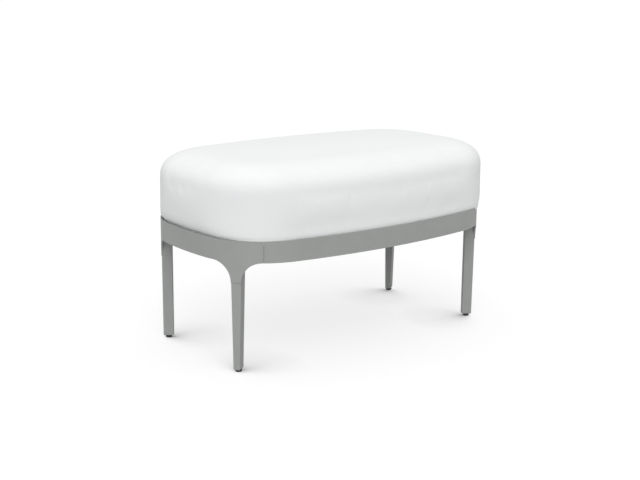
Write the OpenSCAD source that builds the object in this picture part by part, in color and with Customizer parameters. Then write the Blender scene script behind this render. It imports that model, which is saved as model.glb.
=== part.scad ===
// Oval bench ottoman: a metal band with four flush corner plates and tapered legs,
// a slatted deck inside the band, and a loose crowned cushion that lies on the deck.
// Millimetres. X runs along the seat, Y from front (negative) to back, Z up from the floor.

/* [Outline] */
// Length of the metal band, end to end
frame_len = 798; // [760:1:840]
// Depth of the metal band, front to back
frame_w = 498; // [470:1:530]
// Rise of the front and rear curves over the whole length
side_bow = 51.9; // [40:0.1:65]
// Rise of the end curves over the whole depth
end_bow = 39.3; // [30:0.1:50]
// Radius of the four corners
corner_r = 168; // [155:1:180]
// Height of the band's rim above the floor
rim_z = 300; // [250:1:400]

/* [Band and corner plates] */
// Height of the band
band_h = 48; // [44:0.5:60]
// Thickness of the band and the corner plates
band_t = 3.5; // [3:0.1:5]
// Direction of each leg on its corner, from the X axis
leg_ang = 34.5; // [34:0.5:38]
// Radius of the gussets beside each leg
gusset_r = 46; // [40:0.5:50]
// Distance of each seam beyond the gusset's end
seam_past = 2.5; // [0:0.5:3]
// Width of the open seams
seam_gap = 0.6; // [0.2:0.1:1]
// Width of the closed seams, at the front ends of the end rails
closed_gap = 0.1; // [0.05:0.05:0.3]
// Half width of the strip behind each seam
strip_half = 3; // [2:0.5:4]
// Distance of the strips from the band's edges
strip_inset = 0.5; // [0.5:0.5:3]
// Length of the laps behind the seams
lap_len = 22; // [18:0.5:24]
// Thickness of the laps
lap_t = 3; // [2.5:0.1:4]
// Height of the laps, below the slats
lap_h = 29.5; // [27:0.5:31]
// Part of the lap that is joined to its plate
lap_root = 14; // [8:1:20]
// Distance of the lap's weld from its edges
weld_inset = 1; // [0.5:0.5:2]
// Clearance where bars lie against the band
face_gap = 0.1; // [0.05:0.05:0.3]

/* [Legs] */
// Width of a leg at the underside of the band
leg_top_w = 26; // [25:0.5:30]
// Width of a leg at its foot
leg_foot_w = 15.2; // [15:0.1:22]
// Depth of a leg, towards the middle of the seat
leg_depth = 25; // [24:0.5:30]
// Depth of the leg's face behind the plate's face
leg_setback = 1; // [0.5:0.5:2]
// Wall of the leg tube
leg_wall = 2; // [1.5:0.1:2.2]
// Radius of the leg's long edges and foot
leg_edge_r = 2.2; // [2.1:0.1:2.4]
// Height of the block inside the top of each leg
block_h = 32; // [28:1:60]
// Height of the plug inside the foot of each leg
plug_h = 28; // [24:1:50]
// Clearance of block and plug inside the tube
insert_gap = 0.15; // [0.1:0.05:0.3]

/* [Glides] */
// Diameter of the glide pad
pad_d = 15; // [13:0.5:20]
// Height of the glide pad
pad_h = 5; // [4.5:0.1:8]
// Rounding of the pad's lower edge
pad_round = 1.2; // [0.5:0.1:2]
// Gap between the pad and the leg when screwed in
glide_gap = 0.5; // [0.3:0.1:1.5]
// Diameter of the glide's threaded stem
stem_d = 6; // [5:0.5:6]
// Length of the stem above the pad
stem_len = 24; // [20:1:30]
// Diameter of the stem's foot inside the pad
stem_foot_d = 8; // [7.5:0.5:9]
// Height of the stem's foot
stem_foot_h = 2.3; // [1.5:0.1:2.5]
// Floor of the pad under the stem's foot
pad_floor = 2; // [1.5:0.1:2.2]
// Radial clearance of the stem in its plug and of its foot in the pad
stem_gap = 0.05; // [0.03:0.01:0.1]
// Radial clearance of the stem in the pad's lip
lip_gap = 0.2; // [0.1:0.05:0.3]

/* [Deck] */
// Depth of the deck below the rim
seat_drop = 10; // [8:0.5:12]
// Thickness of the slats
slat_t = 5; // [4.5:0.5:7]
// Width of a slat
slat_w = 38; // [32:1:44]
// Distance of the outer slats from the inside of the band
slat_margin = 31.5; // [26:0.5:36]
// Gap between the end of a slat and what it stops at
slat_gap = 2; // [1:0.5:4]
// Height of the cross rails
cross_h = 20; // [16:1:22]
// Width of the cross rails
cross_w = 20; // [16:1:26]
// Wall of the cross rails
cross_wall = 2; // [1.5:0.1:3]
// Distance of the cross rails from the ends of the front and rear ledges
cross_inset = 81; // [65:1:100]
// Width of the ledges' flat flange
ledge_w = 25; // [22:1:30]
// Height of the ledges' upright flange
ledge_h = 22; // [21:0.5:23]
// Thickness of the ledges
ledge_t = 3; // [2.5:0.1:4]
// Distance of the ledges' ends from the ends of their curve
ledge_inset = 4; // [2:0.5:15]
// Thickness of the corner braces
brace_t = 3; // [2.5:0.1:4]
// Width of a corner brace, from the band inwards
brace_w = 60; // [54:1:66]
// Half angle of a corner brace
brace_half_ang = 17.5; // [16:0.5:18]
// Clearance of a brace inside the laps
brace_gap = 1.5; // [0.5:0.1:3]

/* [Fasteners] */
// Diameter of the weld studs and deck screws
stud_d = 5; // [4:0.5:5]
// Diameter of the brace screws
brace_screw_d = 6; // [5:0.5:6]
// Clearance on the diameter of a through hole
hole_gap = 0.6; // [0.3:0.1:1]
// Clearance on the diameter of a threaded hole
thread_gap = 0.1; // [0.05:0.05:0.2]
// Width of a nut across its corners
nut_d = 9.2; // [8.5:0.1:9.4]
// Height of a nut
nut_h = 4; // [3:0.5:5]
// Stud length that shows past its nut
stud_tail = 2; // [1:0.5:3]
// Diameter of a screw's head
head_d = 10; // [8:0.5:11]
// Height of a screw's head
head_h = 2.5; // [2:0.1:3]
// Screw length below what it holds
screw_tail = 7; // [4:0.5:8]
// Height of the upper studs in a seam or leg, below the slats
stud_drop = 7.5; // [6:0.5:8]
// Spacing of the two studs in a seam
lap_stud_pitch = 16; // [14:0.5:18]
// Depth of the upper leg stud below the slats
leg_stud_drop = 17; // [16.5:0.5:18]
// Spacing of the two studs in a leg
leg_stud_pitch = 10; // [9.6:0.1:11]
// Depth of the ledge studs below the slats
ledge_stud_drop = 10; // [9:0.5:12]
// Place of the inner studs along the front and rear ledges, from the middle
side_stud_x = 100; // [60:1:130]
// Distance of the outer studs from the ends of the front and rear ledges
side_stud_inset = 26; // [15:0.5:40]
// Place of the studs along the end ledges, from the middle
end_stud_y = 32; // [24:1:40]
// Distance of an end screw from the end of its slat
slat_screw_inset = 12; // [9:0.5:16]

/* [Cushion] */
// Reach of the cushion past the ends of the band
end_over = 4; // [0:0.5:8]
// Distance of the cushion behind the front and rear of the band
side_inset = 4; // [0:0.5:10]
// Height of the cushion from its base to its crown
cushion_h = 176; // [150:1:200]
// Difference between the corner radii of the band and the cushion
corner_less = 2; // [-4:0.5:8]
// Clearance of the cushion above the slats
seat_gap = 0.3; // [0.1:0.1:0.5]
// Distance that the sides draw in at the base
tuck = 16; // [12:0.5:22]
// Height at which the sides reach their full width
swell_h = 44; // [30:1:60]
// Height of the rounded edge
edge_drop = 58; // [40:1:70]
// Width of the rounded edge, seen from above
edge_run = 112; // [80:1:115]
// Rise of the crown above the rounded edge
crown = 5; // [2:0.5:14]
// Thickness of the cover
cover_t = 2; // [1.5:0.1:3]
// Thickness of the fibre wrap
wrap_t = 12; // [8:1:16]
// Clearance between the cushion's layers
layer_gap = 0.3; // [0.2:0.1:0.5]
// Thickness of the base panel
base_t = 1.5; // [1:0.1:2]

/* [Zip] */
// Length of the zip's opening
zip_len = 520; // [400:10:560]
// Width of the slit in the base panel
slit_w = 12; // [11:0.5:14]
// Width of the zip tape
tape_w = 26; // [22:1:30]
// Thickness of the zip tape
tape_t = 0.8; // [0.6:0.1:1]
// Width of the zip's chain
chain_w = 6; // [5:0.5:7]
// Drop of the chain below the tape
chain_drop = 1.1; // [0.8:0.1:1.2]
// Length of the slider
slider_len = 12; // [10:0.5:15]
// Width of the slider
slider_w = 9; // [8:0.5:10]
// Height of the slider below the chain
slider_h = 2; // [1.6:0.1:2.2]
// Length of the slider's pull
pull_len = 26; // [20:1:32]
// Thickness of the slider's pull
pull_t = 1; // [0.8:0.1:1]

/* [Hidden] */
$fn = 96;
long_arc_fn = 720;
half_l = frame_len / 2;
half_w = frame_w / 2;
function bow_radius(half, bow) = half ^ 2 / (2 * bow) + bow / 2;
side_r = bow_radius(half_l, side_bow);
end_r = bow_radius(half_w, end_bow);
tiny = 0.01;
corner_step = 2;
gusset_step = 2.5;
side_step = 0.75;
end_step = 1;

// Centres and angles of an oval's arcs: [side centre, end centre, corner centre, end angle, side angle]
function oval(hl, hw, rs, re, rc) =
    let (
        side = [0, hw - rs],
        end = [hl - re, 0],
        to_end = end - side,
        dist = norm(to_end),
        along = ((rs - rc) ^ 2 - (re - rc) ^ 2 + dist ^ 2) / (2 * dist),
        off = sqrt((rs - rc) ^ 2 - along ^ 2),
        unit = to_end / dist,
        corner = side + unit * along + [unit[1], -unit[0]] * off * (unit[1] > 0 ? 1 : -1)
    )
    [side, end, corner, atan2(corner[1], corner[0] - end[0]), atan2(corner[1] - side[1], corner[0])];

band_oval = oval(half_l, half_w, side_r, end_r, corner_r);
side_c = band_oval[0];
end_c = band_oval[1];
corner_c = band_oval[2];
end_ang = band_oval[3];
side_ang = band_oval[4];

// Levels
band_z = rim_z - band_h;
tongue_z = band_z - gusset_r;
deck_z = rim_z - seat_drop;
slat_z = deck_z - slat_t;
cross_z = slat_z - cross_h;
brace_z = slat_z - brace_t;
leg_z = pad_h + glide_gap;
cushion_z = deck_z + seat_gap;

// Legs, in the frame of their corner: x outwards, y along the band
function leg_w(z) = leg_foot_w + (leg_top_w - leg_foot_w) * (z - leg_z) / (band_z - leg_z);
function sagitta(r, half) = r - sqrt(r ^ 2 - half ^ 2);
band_in_r = corner_r - band_t;
tongue_half = leg_w(tongue_z) / 2;
leg_out = corner_r - sagitta(corner_r, tongue_half) - leg_setback;
leg_x = leg_out - leg_depth / 2;
leg_back = leg_out - leg_depth;

// Head of the leg, behind the plate's tongue
head_face = band_in_r - sagitta(band_in_r, leg_w(brace_z) / 2) - face_gap;
head_depth = head_face - leg_back;
head_x = head_face - head_depth / 2;
head_in = head_depth - 2 * leg_wall;
block_z = brace_z - block_h;

// Corner plates
plate_half = tongue_half + gusset_r;
plate_ang = asin((plate_half + seam_past) / corner_r);
function arc_deg(len, r) = len / r * 180 / PI;
seam_ang = arc_deg(seam_gap, corner_r);
closed_ang = arc_deg(closed_gap, corner_r);
lap_ang = arc_deg(lap_len, corner_r);
lap_r = band_in_r - face_gap;
lap_z = slat_z - lap_h;
lap_stud_ang = plate_ang + lap_ang / 2;
lap_stud_z = [slat_z - stud_drop, slat_z - stud_drop - lap_stud_pitch];
leg_stud_z = [slat_z - leg_stud_drop, slat_z - leg_stud_drop - leg_stud_pitch];

// Ledges
side_ledge_r = side_r - band_t - face_gap;
end_ledge_r = end_r - band_t - face_gap;
side_ledge_ang = 90 - side_ang - arc_deg(ledge_inset, side_r);
end_ledge_ang = end_ang - arc_deg(ledge_inset, end_r);
ledge_stud_z = slat_z - ledge_stud_drop;
ledge_end_x = side_ledge_r * sin(side_ledge_ang);
side_studs = [side_stud_x, ledge_end_x - side_stud_inset];

// Slats: half lengths by row, counted from the middle
cross_x = ledge_end_x - cross_inset;
slat_rows = [-3, -2, -1, 0, 1, 2, 3];
slat_pitch = (half_w - band_t - slat_margin - slat_w / 2) / 3;
slat_names = ["1", "2", "3", "4", "5", "6", "7"];
brace_screw_at = corner_c + head_x * [cos(leg_ang), sin(leg_ang)];
function slat_edge_y(row) = abs(row) * slat_pitch + slat_w / 2;
end_join_y = (end_r - band_t) * sin(end_ang);
function inside_x(y) =
    y > end_join_y ?
    corner_c[0] + sqrt(band_in_r ^ 2 - (y - corner_c[1]) ^ 2) :
    end_c[0] + sqrt((end_r - band_t) ^ 2 - y ^ 2);
function slat_half(row) =
    abs(row) == 2 ? brace_screw_at[0] - head_d / 2 - slat_screw_inset :
    inside_x(slat_edge_y(row)) - slat_gap;
function slat_screw_x(row) =
    abs(row) == 3 ? [cross_x] : [cross_x, slat_half(row) - slat_screw_inset];

// Cross rails
cross_half = side_c[1] + sqrt((side_ledge_r - ledge_t) ^ 2 - (cross_x + cross_w / 2) ^ 2) - face_gap;
cross_screw_y = side_c[1] + sqrt((side_ledge_r - ledge_w / 2) ^ 2 - cross_x ^ 2);

// Cushion
cushion_corner_r = corner_r - corner_less;
cushion_oval = oval(half_l + end_over, half_w - side_inset, side_r, end_r, cushion_corner_r);
zip_y = slat_pitch / 2;
zip_level = cushion_z + base_t;
foam_lift = base_t + tape_t + layer_gap;
zip_travel = zip_len - slider_len - 2 * face_gap;
end_steps = 3;
corner_steps = 6;
side_steps = 3;
swell_steps = 3;
edge_steps = 6;
crown_steps = 2;

metal = "#8d908b";
dark = "#1c1c1c";
zinc = "#b9bcc0";
cloth = "#f2f2f0";
foam_grey = "#d8d4c4";
nylon = "#3a3a3a";

// Puts a piece that is made in the rear right quarter into the quarter with these signs
module in_quarter(sx, sy)
    mirror([sx < 0 ? 1 : 0, 0, 0])
        mirror([0, sy < 0 ? 1 : 0, 0])
            children();

// Turns x outwards at an angle on the corner's curve
module on_corner(ang)
    translate([corner_c[0], corner_c[1], 0])
        rotate([0, 0, ang])
            children();

// Turns x outwards at an angle on the rear side's or right end's curve
module on_arc(centre, ang)
    translate([centre[0], centre[1], 0])
        rotate([0, 0, ang])
            children();

// Curved bar of rectangular section, between two radii, two angles and two levels
module arc_bar(r0, r1, a0, a1, z0, z1)
    rotate([0, 0, a0])
        rotate_extrude(angle = a1 - a0)
            translate([r0, z0])
                square([r1 - r0, z1 - z0]);

// Points along an arc, both ends included, in even steps of at most step degrees
function arc_points(c, r, a0, a1, step) =
    let (n = ceil((a1 - a0) / step - tiny))
    [for (i = [0:n]) c + r * [cos(a0 + (a1 - a0) * i / n), sin(a0 + (a1 - a0) * i / n)]];
function backwards(pts) = [for (i = [len(pts) - 1:-1:0]) pts[i]];
function mirrored_x(p) = [-p[0], p[1]];
function mirrored_y(p) = [p[0], -p[1]];

// Rod that starts at radius r and runs inwards
module inward_rod(r, z, d, len)
    translate([r, 0, z])
        rotate([0, -90, 0])
            cylinder(d = d, h = len);

// Hexagon nut that seats with its corners on a curved face of radius r, towards the middle
module curve_nut(r, z)
    inward_nut(r - sagitta(r, nut_d / 2), z);

// Hexagon nut with its outer face at radius r
module inward_nut(r, z)
    translate([r, 0, z])
        rotate([0, -90, 0])
            difference() {
                cylinder(d = nut_d, h = nut_h, $fn = 6);
                translate([0, 0, -1])
                    cylinder(d = stud_d + thread_gap, h = nut_h + 2);
            }

// Weld stud on the band's inner face at radius r, long enough for what it holds and its nut
module weld_stud(r, z, grip)
    inward_rod(r + band_t / 2, z, stud_d, band_t / 2 + grip + nut_h + stud_tail);

// Rear rail: the long curve with the start of both corners, and its studs
module rear_rail_shape() {
    function quarter(inset) = concat(
        arc_points(corner_c, corner_r - inset, leg_ang + plate_ang + seam_ang, side_ang, corner_step),
        arc_points(side_c, side_r - inset, side_ang, 90, side_step)
    );
    function edge(inset) = concat(
        quarter(inset),
        [for (i = [len(quarter(inset)) - 2:-1:0]) mirrored_x(quarter(inset)[i])]
    );
    translate([0, 0, band_z])
        linear_extrude(band_h)
            polygon(concat(edge(0), backwards(edge(band_t))));
    for (sx = [-1, 1]) {
        for (z = lap_stud_z)
            in_quarter(sx, 1)
                on_corner(leg_ang + lap_stud_ang)
                    weld_stud(band_in_r, z, face_gap + lap_t);
        for (x = side_studs)
            in_quarter(sx, 1)
                on_arc(side_c, acos(x / side_r))
                    weld_stud(side_r - band_t, ledge_stud_z, face_gap + ledge_t);
    }
}

// Right end rail: the short curve with the start of both corners, and its studs
module right_rail_shape() {
    function quarter(inset, gap_ang) = concat(
        arc_points(end_c, end_r - inset, 0, end_ang, end_step),
        arc_points(corner_c, corner_r - inset, end_ang, leg_ang - plate_ang - gap_ang, corner_step)
    );
    function front_half(pts) = [for (i = [len(pts) - 1:-1:1]) mirrored_y(pts[i])];
    function edge(inset) = concat(front_half(quarter(inset, closed_ang)), quarter(inset, seam_ang));
    translate([0, 0, band_z])
        linear_extrude(band_h)
            polygon(concat(edge(0), backwards(edge(band_t))));
    for (sy = [-1, 1]) {
        for (z = lap_stud_z)
            in_quarter(1, sy)
                on_corner(leg_ang - lap_stud_ang)
                    weld_stud(band_in_r, z, face_gap + lap_t);
        in_quarter(1, sy)
            on_arc(end_c, asin(end_stud_y / end_r))
                weld_stud(end_r - band_t, ledge_stud_z, face_gap + ledge_t);
    }
}

// Side view of a corner plate: band, two quarter-round gussets and the tongue
module plate_profile() {
    right = arc_points([plate_half, tongue_z], gusset_r, 90, 180, gusset_step);
    left = [for (p = right) mirrored_x(p)];
    polygon(concat(
        [[corner_r / 2, band_z], [corner_r / 2, rim_z], [-corner_r / 2, rim_z], [-corner_r / 2, band_z]],
        left,
        backwards(right)
    ));
}

// Corner plate with a lap behind each seam and two studs that hold the leg
module corner_plate(sx, sy)
    color(metal)
        in_quarter(sx, sy)
            on_corner(leg_ang) {
                intersection() {
                    arc_bar(band_in_r, corner_r, -plate_ang, plate_ang, tongue_z, rim_z);
                    translate([corner_r / 2, 0, 0])
                        rotate([90, 0, 90])
                            linear_extrude(corner_r)
                                plate_profile();
                }
                for (s = [0, 1])
                    mirror([0, s, 0])
                        plate_lap();
                for (z = leg_stud_z)
                    weld_stud(band_in_r, z, band_in_r - leg_back);
            }

// Lap behind one seam, with a strip as high as the band, drilled for the rail's studs and welded
// to the plate on this side of the seam
module plate_lap()
    rotate([0, 0, plate_ang]) {
        difference() {
            intersection() {
                arc_bar(lap_r - lap_t, lap_r, -2 * lap_ang, 2 * lap_ang, band_z, rim_z);
                translate([corner_r / 2, 0, 0])
                    rotate([90, 0, 90])
                        linear_extrude(corner_r)
                            lap_profile();
            }
            for (z = lap_stud_z)
                rotate([0, 0, lap_ang / 2])
                    inward_rod(corner_r, z, stud_d + hole_gap, corner_r / 2);
        }
        arc_bar(
            lap_r - lap_t / 2, band_in_r + band_t / 2,
            arc_deg(weld_inset - lap_root, corner_r), -arc_deg(seam_gap + weld_inset, corner_r),
            lap_z + weld_inset, slat_z - weld_inset
        );
    }

// Side view of a lap and its strip, from the seam
module lap_profile() {
    translate([-lap_root, lap_z])
        square([lap_root + lap_len, slat_z - lap_z]);
    translate([-strip_half, band_z + strip_inset])
        square([2 * strip_half, band_h - 2 * strip_inset]);
}

// Taper of the leg between two levels, seen from outside, drawn in on each side
module leg_taper(z0, z1, inset)
    polygon([
        [-leg_w(z0) / 2 + inset, z0],
        [leg_w(z0) / 2 - inset, z0],
        [leg_w(z1) / 2 - inset, z1],
        [-leg_w(z1) / 2 + inset, z1]
    ]);

// Block of that taper, of a given depth, in the middle of the leg's head
module leg_insert(z0, z1, inset, depth)
    translate([head_x - depth / 2, 0, 0])
        rotate([90, 0, 90])
            linear_extrude(depth)
                leg_taper(z0, z1, inset);

// Tapered leg tube with rounded edges: its front is cut back behind the tongue, and it is drilled
// for the plate's studs
module leg(sx, sy)
    color(metal)
        in_quarter(sx, sy)
            on_corner(leg_ang)
                difference() {
                    hull()
                        for (x = [-1, 1], y = [-1, 1]) {
                            translate([
                                leg_x + x * (leg_depth / 2 - leg_edge_r),
                                y * (leg_w(leg_z) / 2 - leg_edge_r),
                                leg_z + leg_edge_r
                            ])
                                sphere(r = leg_edge_r, $fn = 32);
                            translate([
                                leg_x + x * (leg_depth / 2 - leg_edge_r),
                                y * (leg_w(brace_z) / 2 - leg_edge_r),
                                brace_z - tiny
                            ])
                                cylinder(r = leg_edge_r, h = tiny, $fn = 32);
                        }
                    translate([head_face, -leg_top_w, tongue_z - seam_gap])
                        cube([leg_depth, 2 * leg_top_w, rim_z - tongue_z]);
                    leg_insert(leg_z - 1, brace_z + 1, leg_wall, head_in);
                    for (z = leg_stud_z)
                        inward_rod(corner_r, z, stud_d + hole_gap, corner_r / 2);
                }

// Block inside the top of a leg: spaces the walls and takes the brace's screw
module leg_block(sx, sy)
    color(zinc)
        in_quarter(sx, sy)
            on_corner(leg_ang)
                difference() {
                    leg_insert(block_z, brace_z, leg_wall + insert_gap, head_in - 2 * insert_gap);
                    for (z = leg_stud_z)
                        inward_rod(corner_r, z, stud_d + hole_gap, corner_r / 2);
                    translate([head_x, 0, brace_z - screw_tail - 1])
                        cylinder(d = brace_screw_d + thread_gap, h = screw_tail + 2);
                }

// Plug inside the foot of a leg, bored for the glide's stem
module leg_plug(sx, sy)
    color(nylon)
        in_quarter(sx, sy)
            on_corner(leg_ang)
                difference() {
                    leg_insert(leg_z, leg_z + plug_h, leg_wall + insert_gap, head_in - 2 * insert_gap);
                    translate([leg_x, 0, leg_z - 1])
                        cylinder(d = stem_d + 2 * stem_gap, h = plug_h + 2);
                }

// Round glide pad with a socket for the stem's foot and a lip that keeps it in
module glide_pad(sx, sy)
    color(dark)
        in_quarter(sx, sy)
            on_corner(leg_ang)
                translate([leg_x, 0, 0])
                    rotate_extrude()
                        difference() {
                            union() {
                                square([pad_d / 2 - pad_round, pad_h]);
                                translate([0, pad_round])
                                    square([pad_d / 2, pad_h - pad_round]);
                                translate([pad_d / 2 - pad_round, pad_round])
                                    circle(r = pad_round);
                            }
                            translate([-1, pad_floor])
                                square([1 + stem_foot_d / 2 + stem_gap, stem_foot_h + 2 * stem_gap]);
                            translate([-1, pad_floor])
                                square([1 + stem_d / 2 + lip_gap, pad_h]);
                            translate([-pad_d, -1])
                                square([pad_d, pad_h + 2]);
                        }

// Threaded stem with its round foot
module glide_stem(sx, sy)
    color(zinc)
        in_quarter(sx, sy)
            on_corner(leg_ang)
                translate([leg_x, 0, pad_floor + stem_gap]) {
                    cylinder(d = stem_foot_d, h = stem_foot_h);
                    cylinder(d = stem_d, h = pad_h - pad_floor - stem_gap + stem_len);
                }

// Flat brace across a corner, on top of the leg and under two slats
module brace(sx, sy)
    color(metal)
        difference() {
            in_quarter(sx, sy)
                on_corner(leg_ang)
                    arc_bar(
                        band_in_r - brace_w, lap_r - lap_t - brace_gap,
                        -brace_half_ang, brace_half_ang,
                        brace_z, slat_z
                    );
            in_quarter(sx, sy) {
                on_corner(leg_ang)
                    translate([head_x, 0, brace_z - 1])
                        cylinder(d = brace_screw_d + hole_gap, h = brace_t + 2);
                translate([slat_screw_x(2)[1], 2 * slat_pitch, brace_z - 1])
                    cylinder(d = stud_d + thread_gap, h = brace_t + 2);
            }
        }

// Rear ledge: an angle bar behind the rear rail, flange at the bottom, that carries the cross rails
module rear_ledge_shape()
    difference() {
        on_arc(side_c, 0)
            rotate([0, 0, 90 - side_ledge_ang])
                rotate_extrude(angle = 2 * side_ledge_ang, $fn = long_arc_fn)
                    translate([side_ledge_r, cross_z - ledge_t])
                        polygon([
                            [0, 0],
                            [0, ledge_h],
                            [-ledge_t, ledge_h],
                            [-ledge_t, ledge_t],
                            [-ledge_w, ledge_t],
                            [-ledge_w, 0]
                        ]);
        for (sx = [-1, 1]) {
            for (x = side_studs)
                in_quarter(sx, 1)
                    on_arc(side_c, acos(x / side_r))
                        inward_rod(side_r, ledge_stud_z, stud_d + hole_gap, 2 * ledge_w);
            translate([sx * cross_x, cross_screw_y, cross_z - ledge_t - 1])
                cylinder(d = stud_d + hole_gap, h = ledge_t + 2);
        }
    }

// Right ledge: an angle bar behind the right end rail, flange at the top, that carries the slats
module right_ledge_shape()
    difference() {
        on_arc(end_c, -end_ledge_ang)
            rotate_extrude(angle = 2 * end_ledge_ang, $fn = long_arc_fn)
                translate([end_ledge_r, slat_z])
                    polygon([
                        [0, 0],
                        [-ledge_w, 0],
                        [-ledge_w, -ledge_t],
                        [-ledge_t, -ledge_t],
                        [-ledge_t, -ledge_h],
                        [0, -ledge_h]
                    ]);
        for (sy = [-1, 1])
            in_quarter(1, sy)
                on_arc(end_c, asin(end_stud_y / end_r))
                    inward_rod(end_r, ledge_stud_z, stud_d + hole_gap, 2 * ledge_w);
        for (row = [-1, 0, 1])
            translate([slat_screw_x(row)[1], row * slat_pitch, slat_z - ledge_t - 1])
                cylinder(d = stud_d + thread_gap, h = ledge_t + 2);
    }

// Cross rail: a square tube from front to back on the two long ledges
module cross_rail(sx)
    color(metal)
        difference() {
            translate([sx * cross_x - cross_w / 2, -cross_half, cross_z])
                cube([cross_w, 2 * cross_half, cross_h]);
            translate([sx * cross_x - cross_w / 2 + cross_wall, -cross_half - 1, cross_z + cross_wall])
                cube([cross_w - 2 * cross_wall, 2 * cross_half + 2, cross_h - 2 * cross_wall]);
            for (row = slat_rows)
                translate([sx * cross_x, row * slat_pitch, slat_z - cross_wall - 1])
                    cylinder(d = stud_d + thread_gap, h = cross_wall + 2);
            for (sy = [-1, 1])
                translate([sx * cross_x, sy * cross_screw_y, cross_z - 1])
                    cylinder(d = stud_d + thread_gap, h = cross_wall + 2);
        }

// Seat slat: a flat bar with countersunk holes
module slat(row)
    color(metal)
        difference() {
            translate([-slat_half(row), row * slat_pitch - slat_w / 2, slat_z])
                cube([2 * slat_half(row), slat_w, slat_t]);
            for (sx = [-1, 1], x = slat_screw_x(row))
                translate([sx * x, row * slat_pitch, 0]) {
                    translate([0, 0, slat_z - 1])
                        cylinder(d = stud_d + hole_gap, h = slat_t + 2);
                    translate([0, 0, deck_z - head_h])
                        cylinder(d1 = stud_d + hole_gap, d2 = head_d + hole_gap, h = head_h + tiny);
                }
        }

// Nuts on all the weld studs, one solid each
module frame_nuts()
    color(zinc)
        for (sx = [-1, 1], sy = [-1, 1])
            in_quarter(sx, sy) {
                for (z = lap_stud_z, s = [-1, 1])
                    on_corner(leg_ang + s * lap_stud_ang)
                        curve_nut(lap_r - lap_t, z);
                for (z = leg_stud_z)
                    on_corner(leg_ang)
                        inward_nut(leg_back, z);
                for (x = side_studs)
                    on_arc(side_c, acos(x / side_r))
                        curve_nut(side_ledge_r - ledge_t, ledge_stud_z);
                on_arc(end_c, asin(end_stud_y / end_r))
                    curve_nut(end_ledge_r - ledge_t, ledge_stud_z);
            }

// Countersunk screw with the top of its head at the origin
module countersunk_screw(grip)
    union() {
        translate([0, 0, -head_h])
            cylinder(d1 = stud_d, d2 = head_d, h = head_h);
        translate([0, 0, -grip - screw_tail])
            cylinder(d = stud_d, h = grip + screw_tail - head_h + tiny);
    }

// Pan head screw with the underside of its head at the origin
module pan_screw(d, grip) {
    cylinder(d = head_d, h = head_h);
    translate([0, 0, -grip - screw_tail])
        cylinder(d = d, h = grip + screw_tail + tiny);
}

// Screws that hold the slats to cross rails, end ledges and braces
module slat_screws()
    color(zinc)
        for (row = slat_rows, sx = [-1, 1], x = slat_screw_x(row))
            translate([sx * x, row * slat_pitch, deck_z])
                countersunk_screw(slat_t);

// Screws that hold the cross rails to the long ledges, from below
module cross_rail_screws()
    color(zinc)
        for (sx = [-1, 1], sy = [-1, 1])
            translate([sx * cross_x, sy * cross_screw_y, cross_z - ledge_t])
                mirror([0, 0, 1])
                    pan_screw(stud_d, ledge_t);

// Screws that hold the braces to the leg blocks
module brace_screws()
    color(zinc)
        for (sx = [-1, 1], sy = [-1, 1])
            in_quarter(sx, sy)
                on_corner(leg_ang)
                    translate([head_x, 0, slat_z])
                        pan_screw(brace_screw_d, brace_t);

// One quarter of the cushion's outline, drawn in by inset: its points from the end to the side
function quarter_points(inset) =
    let (
        o = cushion_oval,
        at = function (c, r, a) c + (r - inset) * [cos(a), sin(a)]
    )
    concat(
        [for (i = [0:end_steps - 1]) at(o[1], end_r, o[3] * i / end_steps)],
        [for (i = [0:corner_steps - 1]) at(o[2], cushion_corner_r, o[3] + (o[4] - o[3]) * i / corner_steps)],
        [for (i = [0:side_steps]) at(o[0], side_r, o[4] + (90 - o[4]) * i / side_steps)]
    );

// The whole outline, anticlockwise from the right end
function outline(inset) =
    let (
        q = quarter_points(inset),
        n = len(q) - 1
    )
    concat(
        [for (i = [0:n]) q[i]],
        [for (i = [n - 1:-1:0]) [-q[i][0], q[i][1]]],
        [for (i = [1:n]) [-q[i][0], -q[i][1]]],
        [for (i = [n - 1:-1:1]) [q[i][0], -q[i][1]]]
    );

ring_points = len(outline(0));

// Rings of the cushion's form from base to crown, as [inset, height, scale]
form_rings = concat(
    [for (i = [0:swell_steps]) [tuck * (1 - sin(90 * i / swell_steps)), swell_h * i / swell_steps, 1]],
    [for (i = [0:edge_steps])
        let (a = 90 * i / edge_steps)
        [edge_run * (1 - cos(a)), cushion_h - crown - edge_drop * (1 - sin(a)), 1]],
    [for (i = [1:crown_steps - 1])
        let (s = 1 - i / crown_steps)
        [edge_run, cushion_h - crown * s ^ 2, s]]
);

// Points of a form that lies inside the cushion's outer face by inset, with its base at lift
function form_points(inset, lift) =
    let (z = function (h) cushion_z + max(lift, h * (cushion_h - inset) / cushion_h))
    concat(
        [for (ring = form_rings, p = outline(ring[0] + inset))
            [p[0] * ring[2], p[1] * ring[2], z(ring[1])]],
        [[0, 0, z(cushion_h)]]
    );

// Triangles of a form's skin, which closes in a top point
function skin_faces(start, flip) =
    let (
        n = ring_points,
        rings = len(form_rings),
        side = [for (k = [0:rings - 2], i = [0:n - 1])
            let (
                a = start + k * n + i,
                b = start + k * n + (i + 1) % n
            )
            each [[a, a + n, b], [b, a + n, b + n]]],
        top = [for (i = [0:n - 1])
            [start + (rings - 1) * n + i, start + rings * n, start + (rings - 1) * n + (i + 1) % n]]
    )
    [for (f = concat(side, top)) flip ? [f[2], f[1], f[0]] : f];

// Solid form with a flat base
module solid_form(inset, lift)
    polyhedron(
        form_points(inset, lift),
        concat(skin_faces(0, false), [for (i = [1:ring_points - 2]) [0, i, i + 1]])
    );

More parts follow.
